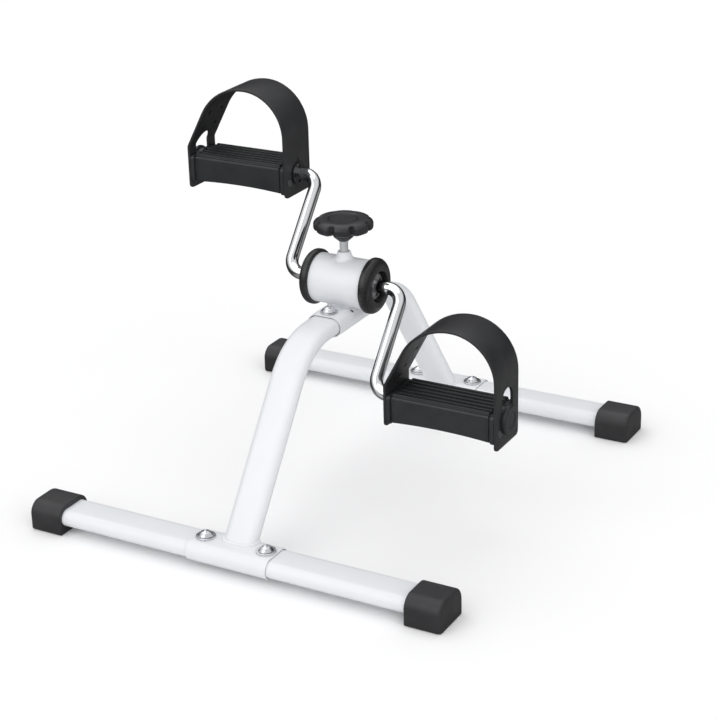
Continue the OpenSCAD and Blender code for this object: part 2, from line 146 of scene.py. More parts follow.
# ---- shapes: a shape is (points, faces) ----

def loft(rings, loop=False):
    """Skin through rings with the same number of points. The end rings are closed, or joined in a loop."""
    n = len(rings[0])
    count = len(rings)
    points = [p for ring in rings for p in ring]
    faces = []
    for i in range(count if loop else count - 1):
        a, b = i * n, (i + 1) % count * n
        for j in range(n):
            k = (j + 1) % n
            faces.append((a + j, a + k, b + k, b + j))
    if not loop:
        faces.append(tuple(reversed(range(n))))
        faces.append(tuple(range((count - 1) * n, count * n)))
    return points, faces


def lathe(outline, at, axis=Z, steps=64, loop=True):
    """Turns an outline of (radius, height) about an axis. loop is for an outline that closes on itself."""
    u = axis.orthogonal().normalized()
    v = axis.cross(u).normalized()
    turns = [2 * math.pi * i / steps for i in range(steps)]
    spokes = [u * math.cos(a) + v * math.sin(a) for a in turns]
    return loft([[at + s * r + axis * h for s in spokes] for r, h in outline], loop)


def bar_x(outline, x0, x1, edge, steps=4):
    """An outline in Y-Z drawn out along X, with its end edges rounded."""
    turns = [math.pi / 2 * i / steps for i in range(steps + 1)]
    stops = [(x0 + edge * (1 - math.sin(a)), edge * (1 - math.cos(a))) for a in reversed(turns)]
    stops += [(x1 - edge * (1 - math.sin(a)), edge * (1 - math.cos(a))) for a in turns]
    ys = [y for y, _ in outline]
    zs = [z for _, z in outline]
    mid_y, mid_z = (min(ys) + max(ys)) / 2, (min(zs) + max(zs)) / 2
    half_y, half_z = (max(ys) - min(ys)) / 2, (max(zs) - min(zs)) / 2
    rings = []
    for x, inset in stops:
        ky, kz = 1 - inset / half_y, 1 - inset / half_z
        rings.append([Vector((x, mid_y + (y - mid_y) * ky, mid_z + (z - mid_z) * kz)) for y, z in outline])
    return loft(rings)


def box(low, high):
    """A plain block, for cutting."""
    (x0, y0, z0), (x1, y1, z1) = low, high
    return loft([[Vector((x, y, z)) for x, y in ((x0, y0), (x1, y0), (x1, y1), (x0, y1))]
                 for z in (z0, z1)])


def rod_x(r, x0, x1, centre, steps=48):
    """A plain cylinder along X, for cutting and joining."""
    return lathe([(r, x0), (r, x1)], centre, X, steps, loop=False)


def rod_z(r, z0, z1, centre, steps=32):
    """A plain cylinder along Z, for cutting."""
    return lathe([(r, z0), (r, z1)], centre, Z, steps, loop=False)


def merge(shapes):
    """Several shapes as one."""
    points, faces = [], []
    for some_points, some_faces in shapes:
        start = len(points)
        points += some_points
        faces += [tuple(i + start for i in f) for f in some_faces]
    return points, faces


def mirrored(shape, side):
    """The shape itself for side 1, or its mirror image in X for side -1."""
    points, faces = shape
    return [Vector((p.x * side, p.y, p.z)) for p in points], faces


def turned(shape, matrix):
    """A shape turned by a matrix."""
    points, faces = shape
    return [matrix @ p for p in points], faces


def moved(shape, step):
    """A shape moved by a vector."""
    points, faces = shape
    return [p + step for p in points], faces


def sweep(path, radius, steps=32):
    """A round rod along a path that lies in one plane; radius is a number or one for each point."""
    radii = radius if isinstance(radius, list) else [radius] * len(path)
    side = (path[1] - path[0]).cross(path[-1] - path[0])
    if side.length < 1e-6:
        side = (path[1] - path[0]).orthogonal()
    side.normalize()
    rings = []
    for i, (p, r) in enumerate(zip(path, radii)):
        along = (path[min(i + 1, len(path) - 1)] - path[max(i - 1, 0)]).normalized()
        up = side.cross(along)
        turns = [2 * math.pi * k / steps for k in range(steps)]
        rings.append([p + (up * math.cos(a) + side * math.sin(a)) * r for a in turns])
    return loft(rings)


def bead(path, r, ripple=0.16, ripples=60, steps=10):
    """A weld bead round a closed path."""
    n = len(path)
    rings = []
    for i, p in enumerate(path):
        along = (path[(i + 1) % n] - path[i - 1]).normalized()
        up = (Z - along * along.z).normalized()
        side = along.cross(up)
        swell = r * (1 + ripple * math.sin(ripples * 2 * math.pi * i / n))
        turns = [2 * math.pi * k / steps for k in range(steps)]
        rings.append([p + (up * math.cos(a) + side * math.sin(a)) * swell for a in turns])
    return loft(rings, loop=True)


# ---- objects ----

def solid(name, shape):
    """A new object from a shape in millimetres, with its doubled points merged."""
    points, faces = shape
    mesh = bpy.data.meshes.new(name)
    mesh.from_pydata([p * MM for p in points], [], faces)
    bm = bmesh.new()
    bm.from_mesh(mesh)
    bmesh.ops.remove_doubles(bm, verts=bm.verts, dist=1e-6)
    bmesh.ops.recalc_face_normals(bm, faces=bm.faces)
    bm.to_mesh(mesh)
    bm.free()
    ob = bpy.data.objects.new(name, mesh)
    scene.collection.objects.link(ob)
    return ob


def carve(ob, shape, how="DIFFERENCE"):
    """Cuts a shape out of an object, or joins it on."""
    tool = solid("tool", shape)
    cut = ob.modifiers.new("cut", "BOOLEAN")
    cut.operation = how
    cut.solver = "EXACT"
    cut.object = tool
    bpy.context.view_layer.update()
    done = bpy.data.meshes.new_from_object(ob.evaluated_get(bpy.context.evaluated_depsgraph_get()))
    ob.modifiers.clear()
    ob.data = done
    bpy.data.objects.remove(tool)


def show(ob, body, look, nodes=(), edge=0.0, segments=3, sharp=38):
    """Gives a piece its material, its rounded edges, its body and the CAD nodes that it stands for."""
    ob.data.materials.clear()
    ob.data.materials.append(look)
    ob.data.polygons.foreach_set("use_smooth", [True] * len(ob.data.polygons))
    if edge:
        bevel = ob.modifiers.new("rounded edges", "BEVEL")
        bevel.width = edge * MM
        bevel.segments = segments
        bevel.limit_method = "ANGLE"
        bevel.angle_limit = math.radians(sharp)
        bevel.harden_normals = True
    else:
        ob.data.set_sharp_from_angle(angle=math.radians(sharp))
    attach(ob, body)
    if nodes:
        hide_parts(*nodes)
    return ob


# ---- materials ----

class Look:
    """A node material round one Principled shader. Its textures stick to the piece, in metres."""

    def __init__(self, name, colour, roughness, metallic=0.0, **sockets):
        self.material = bpy.data.materials.new(name)
        self.material.use_nodes = True
        self.nodes = self.material.node_tree.nodes
        self.links = self.material.node_tree.links
        self.shader = self.nodes["Principled BSDF"]
        self.shader.inputs["Base Color"].default_value = (*colour, 1)
        self.shader.inputs["Roughness"].default_value = roughness
        self.shader.inputs["Metallic"].default_value = metallic
        for key, value in sockets.items():
            self.shader.inputs[key.replace("_", " ")].default_value = value
        self.place = self.nodes.new("ShaderNodeTexCoord").outputs["Object"]

    def noise(self, per_metre, detail=3.0, roughness=0.5, stretch=(1, 1, 1)):
        """A cloudy value from 0 to 1, with this many lumps to a metre."""
        place = self.place
        if stretch != (1, 1, 1):
            mapping = self.nodes.new("ShaderNodeMapping")
            mapping.inputs["Scale"].default_value = stretch
            self.links.new(place, mapping.inputs["Vector"])
            place = mapping.outputs["Vector"]
        node = self.nodes.new("ShaderNodeTexNoise")
        node.inputs["Scale"].default_value = per_metre
        node.inputs["Detail"].default_value = detail
        node.inputs["Roughness"].default_value = roughness
        self.links.new(place, node.inputs["Vector"])
        return node.outputs["Fac"]

    def ramp(self, value, low, high, start=0.3, end=0.7):
        """Carries a value over to the range from low to high, which are numbers or colours."""
        if isinstance(low, tuple):
            node = self.nodes.new("ShaderNodeValToRGB")
            node.color_ramp.elements[0].position = start
            node.color_ramp.elements[0].color = (*low, 1)
            node.color_ramp.elements[1].position = end
            node.color_ramp.elements[1].color = (*high, 1)
            self.links.new(value, node.inputs["Fac"])
            return node.outputs["Color"]
        node = self.nodes.new("ShaderNodeMapRange")
        for key, number in (("From Min", start), ("From Max", end), ("To Min", low), ("To Max", high)):
            node.inputs[key].default_value = number
        self.links.new(value, node.inputs["Value"])
        return node.outputs["Result"]

    def colour(self, value, low, high, start=0.3, end=0.7):
        self.links.new(self.ramp(value, low, high, start, end), self.shader.inputs["Base Color"])

    def rough(self, value, low, high, start=0.3, end=0.7):
        self.links.new(self.ramp(value, low, high, start, end), self.shader.inputs["Roughness"])

    def bump(self, heights, depth_mm):
        """Bumps from one or more values; depth is that of the first."""
        normal = None
        for value, depth in zip(heights, depth_mm):
            node = self.nodes.new("ShaderNodeBump")
            node.inputs["Strength"].default_value = 1.0
            node.inputs["Distance"].default_value = depth * MM
            self.links.new(value, node.inputs["Height"])
            if normal is not None:
                self.links.new(normal, node.inputs["Normal"])
            normal = node.outputs["Normal"]
        self.links.new(normal, self.shader.inputs["Normal"])


def powder_coat():
    """White epoxy powder: glossy, with a faint orange peel and a little dust."""
    look = Look("white powder coat", (0.79, 0.80, 0.82), 0.34, IOR=1.5)
    look.colour(look.noise(22, 4), (0.755, 0.77, 0.795), (0.78, 0.795, 0.82))
    look.rough(look.noise(60, 3), 0.30, 0.40)
    look.bump([look.noise(650, 2), look.noise(2600, 2)], [0.035, 0.008])
    return look.material


def moulded(name, dark, pale, roughness, grain_mm, depth_mm):
    """Spark-eroded moulded plastic: a fine even grain, with slightly shinier worn patches."""
    look = Look(name, pale, roughness, IOR=1.48)
    look.colour(look.noise(35, 5, 0.6), dark, pale)
    look.rough(look.noise(90, 4, 0.6), roughness - 0.05, roughness + 0.06)
    look.bump([look.noise(1000 / grain_mm, 3, 0.6), look.noise(45, 2)], [depth_mm, 0.05])
    return look.material


def chrome():
    """Bright chrome on a bent rod, with painted dark reflections along its edges, and faint lengthwise
    polishing marks and smudges.
    """
    look = Look("crank chrome", (0.86, 0.87, 0.88), 0.05, 1.0)
    # Near-black specular tint: painted dark reflection bands along both edges of the rod.
    look.shader.inputs["Specular Tint"].default_value = (0.08, 0.08, 0.085, 1)
    look.rough(look.noise(40, 4, 0.6), 0.035, 0.09)
    return look.material


def satin():
    """Dull nickel on the brake screw."""
    look = Look("satin nickel", (0.74, 0.75, 0.76), 0.5, 0.6)
    look.colour(look.noise(150, 3), (0.70, 0.71, 0.72), (0.80, 0.81, 0.82))
    look.rough(look.noise(400, 3), 0.42, 0.56)
    return look.material


def zinc():
    """Clear zinc plating: bright, slightly blue, with cloudy patches."""
    look = Look("bright zinc", (0.70, 0.72, 0.74), 0.24, 1.0)
    look.colour(look.noise(180, 4, 0.6), (0.60, 0.62, 0.65), (0.78, 0.79, 0.80))
    look.rough(look.noise(300, 4), 0.16, 0.34)
    look.bump([look.noise(1500, 3)], [0.012])
    return look.material


def steel(name, dark, pale):
    """Bare or blackened steel, turned or stamped, with fine marks."""
    look = Look(name, pale, 0.34, 1.0)
    look.colour(look.noise(200, 4, 0.6), dark, pale)
    look.rough(look.noise(900, 3, 0.5, (1, 6, 6)), 0.24, 0.44)
    look.bump([look.noise(1400, 3, 0.5, (1, 6, 6))], [0.01])
    return look.material


def nylon():
    look = Look("nylon bush", (0.72, 0.70, 0.62), 0.45, IOR=1.53)
    look.colour(look.noise(60, 3), (0.66, 0.64, 0.56), (0.76, 0.74, 0.67))
    look.bump([look.noise(900, 2)], [0.01])
    return look.material


def felt():
    look = Look("brake felt", (0.42, 0.34, 0.22), 0.95)
    look.colour(look.noise(700, 6, 0.7), (0.26, 0.20, 0.12), (0.50, 0.41, 0.28))
    look.bump([look.noise(1800, 6, 0.8)], [0.25])
    return look.material


WHITE = powder_coat()
STRAP = moulded("strap plastic", (0.015, 0.0155, 0.0168), (0.024, 0.0247, 0.0265), 0.42, 0.55, 0.012)
PEDAL = moulded("pedal plastic", (0.015, 0.0165, 0.018), (0.023, 0.0255, 0.0275), 0.40, 0.7, 0.016)
CAP = moulded("foot cap plastic", (0.020, 0.020, 0.022), (0.029, 0.029, 0.031), 0.50, 0.8, 0.025)
COVER = moulded("hub cover plastic", (0.014, 0.014, 0.0148), (0.022, 0.022, 0.0235), 0.28, 0.6, 0.010)
KNOB = moulded("knob plastic", (0.017, 0.017, 0.019), (0.028, 0.028, 0.031), 0.36, 0.6, 0.012)
RIVET = moulded("rivet plastic", (0.035, 0.036, 0.038), (0.050, 0.052, 0.055), 0.38, 0.5, 0.010)
CHROME = chrome()
ZINC = zinc()
SATIN = satin()
STEEL = steel("bare steel", (0.36, 0.36, 0.37), (0.56, 0.56, 0.57))
BLACK_STEEL = steel("blackened steel", (0.06, 0.06, 0.065), (0.12, 0.12, 0.125))
NYLON = nylon()
FELT = felt()


# ---- frame ----

def hub():
    """Hub tube. The brake screw's hole isn't cut, because the collar covers it."""
    inner = HUB_R - HUB_WALL
    ends = [(inner, -HUB_HALF), (HUB_R, -HUB_HALF), (HUB_R, HUB_HALF), (inner, HUB_HALF)]
    shape = lathe(rounded(ends, [0.4, 0.6, 0.6, 0.4], 3), Z * AXLE_Z, X, 96)
    show(solid("hub_tube", shape), "frame", WHITE, ["hub_shell"])


def collar():
    """Turned boss for the brake screw, run into the hub's top by its weld."""
    top = span("tension_collar")[1].z - AXLE_Z
    bore = SCREW_R + 0.1
    steps = 64
    spokes = [2 * math.pi * i / steps for i in range(steps)]

    def on_hub(r, lift):
        """A ring at radius r that lies on the hub's top."""
        return [Vector((r * math.cos(a), r * math.sin(a),
                        AXLE_Z + lift + math.sqrt(HUB_R ** 2 - (r * math.sin(a)) ** 2))) for a in spokes]

    rings = [on_hub(9.8, -0.25), on_hub(9.0, 0.15), on_hub(8.3, 0.6), on_hub(7.7, 1.4)]
    for r, h in [(7.1, 2.8), (6.1, top - HUB_R - 0.7), (5.8, top - HUB_R - 0.2), (5.2, top - HUB_R),
                 (bore + 0.3, top - HUB_R), (bore, top - HUB_R - 0.3)]:
        rings.append([Vector((r * math.cos(a), r * math.sin(a), AXLE_Z + HUB_R + h)) for a in spokes])
    inside_wall = -1.2
    rings += [on_hub(bore, inside_wall), on_hub(9.8, inside_wall)]
    show(solid("screw_collar", loft(rings, loop=True)), "frame", WHITE,
         ["tension_collar"], sharp=50)


def leg_path():
    """Centre line of the rear leg from inside the bracket to the foot bar's centre, as (y, z, direction)."""
    foot_y = BAR_Y - LEG_FOOT_OFFSET
    corner_y = foot_y - (BRACKET_Z - FOOT_Z) * math.tan(LEG_LEAN)
    arc_y = corner_y - LEG_BEND_R * math.tan((math.pi / 2 - LEG_LEAN) / 2)
    arc_z = BRACKET_Z - LEG_BEND_R
    stops = [(LEG_START_Y, BRACKET_Z, 0.0), (arc_y - 4, BRACKET_Z, 0.0)]
    bend = math.pi / 2 - LEG_LEAN
    bend_steps = 20
    for i in range(bend_steps + 1):
        turn = bend * i / bend_steps
        stops.append((arc_y + LEG_BEND_R * math.sin(turn), arc_z + LEG_BEND_R * math.cos(turn), turn))
    y, z, turn = stops[-1]
    drop = z - FOOT_Z
    for share in (0.03, 0.35, 0.7):
        stops.append((y + drop * share * math.tan(LEG_LEAN), z - drop * share, turn))
    return stops


def leg_to_sleeve(u, v):
    """Where the line along the leg through its section point (u, v) meets the rear foot sleeve's outside."""
    down = Vector((0, math.sin(LEG_LEAN), -math.cos(LEG_LEAN)))
    normal = Vector((0, math.cos(LEG_LEAN), math.sin(LEG_LEAN)))
    start = Vector((u, BAR_Y - LEG_FOOT_OFFSET, FOOT_Z)) + normal * v
    flat = (SLEEVE_W - SLEEVE_H) / 2
    near, far = 0.0, 60.0
    for _ in range(30):
        s = (near + far) / 2
        p = start - down * s
        over = max(abs(p.y - BAR_Y) - flat, 0)
        if math.hypot(over, p.z - FOOT_Z) > SLEEVE_H / 2:
            far = s
        else:
            near = s
    return start - down * far


def leg(name, turn):
    """One leg with its weld to the foot sleeve. The front leg is the rear one turned half round."""
    outer, inner = oval(LEG_W, LEG_T, 16), oval(LEG_W - 2 * LEG_WALL, LEG_T - 2 * LEG_WALL, 16)
    rings = []
    for section in (outer, inner):
        part = []
        for y, z, a in leg_path():
            up = Vector((0, math.sin(a), math.cos(a)))
            part.append([Vector((u, y, z)) + up * v for u, v in section])
        part.append([leg_to_sleeve(u, v) for u, v in section])
        rings += part if section is outer else part[::-1]
    shape = turned(loft(rings, loop=True), turn)
    show(solid(name + "_tube", shape), "frame", WHITE, [name])
    seam = [leg_to_sleeve(u, v) for u, v in oval(LEG_W + 0.6, LEG_T + 0.6, 60)]
    show(solid(name + "_weld", turned(bead(seam, 1.7, 0.10, 44), turn)), "frame", WHITE)


def bracket():
    """Flat-oval tube that holds the legs' upper ends, cut out for the hub and welded to it."""
    wall = 0.9  # thinner than the CAD tube's, so that its end shows a seam round the leg
    long_half = bracket_high.y
    outer, inner = oval(BRACKET_W, BRACKET_H, 16), oval(BRACKET_W - 2 * wall, BRACKET_H - 2 * wall, 16)

    def ring(section, y):
        return [Vector((u, y, BRACKET_Z + v)) for u, v in section]

    stops = [-long_half, -long_half / 2, 0, long_half / 2, long_half]
    rings = [ring(outer, y) for y in stops] + [ring(inner, y) for y in stops[::-1]]
    ob = solid("hub_bracket", loft(rings, loop=True))
    carve(ob, rod_x(HUB_R - 0.4, -30, 30, Z * AXLE_Z, 96))
    shoulder_hole = Vector((BRACKET_W / 2 - 4, -12.8, BRACKET_Z))
    carve(ob, rod_z(1.6, 0, 20, shoulder_hole))
    show(ob, "frame", WHITE, ["top_bracket"], edge=0.45, segments=2)

    flat = (BRACKET_W - BRACKET_H) / 2
    round_r = BRACKET_H / 2
    reach = flat + math.sqrt(round_r ** 2 - (AXLE_Z - HUB_R - BRACKET_Z) ** 2)
    steps = 120
    seam = []
    for i in range(steps):
        a = 2 * math.pi * i / steps
        x = reach * math.cos(a)
        z = BRACKET_Z + math.sqrt(max(round_r ** 2 - max(abs(x) - flat, 0) ** 2, 0))
        y = math.sqrt(max(HUB_R ** 2 - (AXLE_Z - z) ** 2, 0))
        seam.append(Vector((x, math.copysign(y + 0.4, math.sin(a)), z)))
    show(solid("hub_weld", bead(seam, 1.9, 0.10, 40)), "frame", WHITE)


def foot_bar(end, y):
    """Sleeve and two tubes of one foot bar."""
    wall = 0.8  # as on the bracket
    outer, inner = oval(SLEEVE_W, SLEEVE_H, 16), oval(SLEEVE_W - 2 * wall, SLEEVE_H - 2 * wall, 16)

    def ring(section, x):
        return [Vector((x, y + u, FOOT_Z + v)) for u, v in section]

    rings = [ring(outer, -SLEEVE_HALF), ring(outer, SLEEVE_HALF),
             ring(inner, SLEEVE_HALF), ring(inner, -SLEEVE_HALF)]
    show(solid(end + "_sleeve", loft(rings, loop=True)), "frame", WHITE,
         [end + "_foot_sleeve"], edge=0.5)
    for side, word in ((-1, "left"), (1, "right")):
        node = end + "_" + word + "_foot_tube"
        low, high = span(node)
        w, h = high.y - low.y, high.z - low.z
        outer, inner = oval(w, h, 16), oval(w - 2 * FOOT_WALL, h - 2 * FOOT_WALL, 16)
        rings = [ring(outer, low.x), ring(outer, high.x), ring(inner, high.x), ring(inner, low.x)]
        show(solid(node + "_shell", loft(rings, loop=True)), "frame", WHITE,
             [node], edge=0.4)


def foot_cap(end, word):
    """Push-on end cap: an arched outline with soft outer edges and a socket for the tube."""
    node = end + "_" + word + "_foot_cap"
    side = 1 if word == "right" else -1
    low, high = span(node)
    length, w, h = high.x - low.x, high.y - low.y, high.z
    y = (low.y + high.y) / 2
    x1 = max(abs(low.x), abs(high.x))
    x0 = x1 - length
    corners = [(-w / 2, 0), (w / 2, 0), (w / 2, h), (-w / 2, h)]
    outline = rounded(corners, [1.5, 1.5, 12, 12], 10)
    lip, end_edge, steps = 0.9, 3.2, 6
    turns = [math.pi / 2 * i / steps for i in range(steps + 1)]
    stops = [(x0 + lip * (1 - math.cos(a)), lip * (1 - math.sin(a))) for a in turns]
    stops += [(x0 + length * 0.35, 0), (x0 + length * 0.7, 0)]
    stops += [(x1 - end_edge * (1 - math.sin(a)), end_edge * (1 - math.cos(a))) for a in turns]
    rings = []
    for x, inset in stops:
        ky, kz = 1 - inset * 2 / w, 1 - inset / h
        rings.append([Vector((x, y + u * ky, v * kz)) for u, v in outline])
    ob = solid(word + "_" + end + "_end_cap", mirrored(loft(rings), side))
    tube_low, tube_high = span(end + "_" + word + "_foot_tube")
    socket = oval(tube_high.y - tube_low.y + 0.2, tube_high.z - tube_low.z + 0.2, 16)
    carve(ob, loft([[Vector((side * x, y + u, FOOT_Z + v)) for u, v in socket] for x in (x0 - 2, x1 - 5)]))
    show(ob, "frame", CAP, [node], edge=0.5, sharp=50)


# ---- fasteners ----

def dome_bolt(at, r, h):
    """Dome head as a closed shape above at, with a short shank below; bolts() cuts its cross recess."""
    ball = (r * r + h * h) / (2 * h)
    rim = 0.7
    full = math.degrees(math.asin((r - 0.15) / ball))
    dome = [(ball * math.sin(math.radians(a)), h - ball + ball * math.cos(math.radians(a)))
            for a in [full * i / 10 for i in range(10, 0, -1)]]
    outline = [(BOLT_R, -8), (BOLT_R, 0.0), (r - 0.5, 0.0), (r, 0.3), (r, rim)]
    outline += [(x, max(z, rim)) for x, z in dome if z > rim]
    outline.append((0.25, h))
    return lathe(outline, at, Z, 48, loop=False)


def cross_recess(at, h):
    """Two tapered blades crossing in the bolt's head."""
    blades = []
    for a in (math.radians(45), math.radians(135)):
        u = Vector((math.cos(a), math.sin(a), 0))
        v = Vector((-math.sin(a), math.cos(a), 0))
        rings = []
        for z, long_half, wide_half in ((h - 2.8, 1.4, 0.6), (h - 1.0, 3.6, 1.0), (h + 1, 4.4, 1.3)):
            rings.append([at + Z * z + u * (p * long_half) + v * (q * wide_half)
                          for p, q in ((-1, -1), (1, -1), (1, 1), (-1, 1))])
        blades.append(loft(rings))
    return blades


def washer(at, r, hole, t, steps=48):
    """A flat ring that lies on at."""
    corners = [(hole, 0), (r, 0), (r, t), (hole, t)]
    return lathe(rounded(corners, 0.35, 3), at, Z, steps)


def bolts(name, node, washers_name, washer_node, places, base_z, washer_r):
    """The bolts and washers at some places, with base_z the height of the washers' tops."""
    head_h = span(node)[1].z - base_z
    shapes = [dome_bolt(Vector((x, y, base_z)), BOLT_HEAD_R, head_h) for x, y in places]
    ob = solid(name, merge(shapes))
    for x, y in places:
        for blade in cross_recess(Vector((x, y, base_z)), head_h):
            carve(ob, blade)
    show(ob, "frame", ZINC, [node], edge=0.18, segments=2, sharp=45)
    thick = span(washer_node)[1].z - span(washer_node)[0].z
    rings = [washer(Vector((x, y, base_z - thick)), washer_r, BOLT_HOLE_R, thick) for x, y in places]
    show(solid(washers_name, merge(rings)), "frame", ZINC, [washer_node])


def fasteners():
    foot_x = span("foot_bolts")[1].x - BOLT_HEAD_R
    feet = [(x * foot_x, y * BAR_Y) for x in (-1, 1) for y in (-1, 1)]
    bolts("foot_screws", "foot_bolts", "foot_screw_washers", "foot_washers", feet,
          span("foot_washers")[1].z, span("foot_washers")[1].x - foot_x)
    bracket_y = span("bracket_bolts")[1].y - BOLT_HEAD_R
    bolts("bracket_screws", "bracket_bolts", "bracket_screw_washers", "bracket_washers",
          [(0, -bracket_y), (0, bracket_y)], span("bracket_washers")[1].z,
          span("bracket_washers")[1].y - bracket_y)


# ---- hub covers, brake and knob ----

def hub_cover(side, word):
    """Domed plastic cover with a stepped recess round the crank."""
    out = span("right_hub_cover")[1].x - HUB_HALF
    r = span("right_hub_cover")[1].y
    recess_r, recess_x, lip_r = 14.5, 3, 17
    skirt_r, skirt_x, web_x = HUB_R - HUB_WALL - 0.1, -8, -1.5
    outline = [(BUSH_R, skirt_x), (BUSH_R, recess_x), (recess_r, recess_x)]
    outline += arc(recess_r + 0.8, out - 0.8, 0.8, 180, 90, 4)
    outline += [(lip_r + (r - lip_r) * math.sin(a), 4 + (out - 4) * math.cos(a))
                for a in [math.pi / 2 * i / 14 for i in range(15)]]
    outline += [(r, 1.4), (r - 0.4, 0.4), (r - 1.2, 0), (skirt_r, 0), (skirt_r, skirt_x),
                (HUB_R - 5, skirt_x), (HUB_R - 5, web_x), (BUSH_R + 3, web_x), (BUSH_R + 3, skirt_x)]
    at = Vector((side * HUB_HALF, 0, AXLE_Z))
    ob = solid(word + "_hub_end_cover", lathe(outline, at, X * side, 96))
    show(ob, "frame", COVER, [word + "_hub_cover"], sharp=45)


def screw():
    """Brake screw: a rolled thread in the hub and its collar, and a plain shank up to the knob."""
    low, high = span("tension_screw")
    thread_top = span("tension_collar")[1].z + 3
    tip_r, depth, round_steps, pitch_steps = 3.3, 0.38, 28, 6
    count = int((thread_top - low.z) / THREAD_PITCH * pitch_steps)
    spokes = [2 * math.pi * k / round_steps for k in range(round_steps)]

    def ring_of(r, z):
        return [Vector((r * math.cos(a), r * math.sin(a), z)) for a in spokes]

    rings = [ring_of(tip_r, low.z)]
    for i in range(count + 1):
        z = low.z + 0.2 + i * THREAD_PITCH / pitch_steps
        ring = []
        for k, a in enumerate(spokes):
            phase = ((z - low.z) / THREAD_PITCH - k / round_steps) % 1.0
            r = SCREW_R - depth * (1 - abs(2 * phase - 1)) ** 0.8 * min((thread_top - z) / THREAD_PITCH, 1)
            ring.append(Vector((r * math.cos(a), r * math.sin(a), z)))
        rings.append(ring)
    rings += [ring_of(SCREW_R, thread_top + 0.3), ring_of(SCREW_R, high.z)]
    show(solid("brake_screw", loft(rings)), "knob", SATIN, ["tension_screw"], sharp=80)


def knob():
    """Eight-lobed hand knob: a domed top, round notches that fade out towards it, and a boss below."""
    low, high = span("tension_knob")
    lobes, start = 8, math.radians(-19)
    tip, notch, half_notch = 27.6, 4.3, 10
    top = high.z
    rim_low = top - 11
    steps = lobes * 24
    angles = [2 * math.pi * i / steps for i in range(steps)]

    def ring(inset, z, circle=None):
        """A ring inside the notched outline, or a circle where its radius is given."""
        points = []
        share = min(max((top - 0.2 - z) / 3.4, 0), 1)
        depth = share * share * (3 - 2 * share)
        for a in angles:
            away = math.degrees((a - start + math.pi / lobes) % (2 * math.pi / lobes))
            away = min(away, 360 / lobes - away)
            dip = notch * (0.5 + 0.5 * math.cos(math.pi * min(away / half_notch, 1)))
            r = tip - 0.5 * (away / 22.5 - 1) ** 2 - dip * depth - inset if circle is None else circle
            points.append(Vector((r * math.cos(a), r * math.sin(a), z)))
        return points

    bore = SCREW_R + 0.05
    disc_r = span("knob_cap")[1].x + 0.2
    below = [(low.z, bore), (low.z, 4.6), (low.z + 0.4, 5.1), (low.z + 2.4, 7.4), (low.z + 4.0, 9.2),
             (low.z + 5.2, 9.8), (rim_low + 1.4, 10.6), (rim_low + 2.4, 12.5), (rim_low + 2.4, 17)]
    rings = [ring(0, z, circle=r) for z, r in below]
    rings += [ring(6.0, rim_low + 2.2), ring(5.2, rim_low + 1.1), ring(4.4, rim_low + 0.2),
              ring(3.4, rim_low), ring(2.2, rim_low + 0.2), ring(1.1, rim_low + 0.75),
              ring(0.35, rim_low + 1.6), ring(0, rim_low + 2.6), ring(0, rim_low + 4.2)]
    dome_in, dome_h, dome_steps = 8.6, 5.6, 14
    for i in range(dome_steps + 1):
        a = math.pi / 2 * i / dome_steps
        rings.append(ring(dome_in * (1 - math.cos(a)), top - dome_h * (1 - math.sin(a))))
    rings += [ring(0, top, circle=disc_r + 2.6), ring(0, top - 0.1, circle=disc_r + 1.4),
              ring(0, top - 0.5, circle=disc_r + 0.5), ring(0, top - 1.2, circle=disc_r + 0.2),
              ring(0, top - 1.2, circle=bore + 3), ring(0, top - 4, circle=bore)]
    show(solid("hand_knob", loft(rings, loop=True)), "knob", KNOB, ["tension_knob"], sharp=50)

    cap_low, cap_high = span("knob_cap")
    r, t = cap_high.x, cap_high.z - cap_low.z
    disc = [(r - 0.2, 0), (r, 0.2), (r, t - 0.3), (r - 0.3, t), (r * 0.8, t), (r * 0.78, t - 0.25),
            (r * 0.4, t - 0.3), (0.2, t - 0.3)]
    show(solid("knob_top_disc", lathe(disc, Z * cap_low.z, Z, 64, loop=False)), "knob", KNOB,
         ["knob_cap"], sharp=42)


# ---- cranks ----

def crank(word, side, pin):
    """One bent rod, from the hub's middle out to its pedal."""
    axle = Vector((0, 0, AXLE_Z))
    reach = Vector((0, pin.y, pin.z - AXLE_Z))
    throw = reach.length
    up = reach.normalized()
    flat = [(1.0, 0.0), (ARM_X - ROD_BEND_R - 20, 0.0)]
    flat += arc(ARM_X - ROD_BEND_R, ROD_BEND_R, ROD_BEND_R, -90, 0, 16)
    flat.append((ARM_X, throw / 2))
    flat += arc(ARM_X + ROD_BEND_R, throw - ROD_BEND_R, ROD_BEND_R, 180, 90, 16)
    flat += [(ROD_END - 20, throw), (ROD_END - 1.2, throw)]
    radii = [ROD_R] * len(flat)
    flat += [(ROD_END - 0.4, throw), (ROD_END, throw)]
    radii += [ROD_R - 0.3, ROD_R - 1.2]
    path = [axle + X * (side * x) + up * z for x, z in flat]
    show(solid(word + "_crank_rod", sweep(path, radii, 96)), "crankset", CHROME,
         [word + "_crank"], sharp=60)


# ---- pedals, drawn round the pin with x outwards from the machine's middle ----

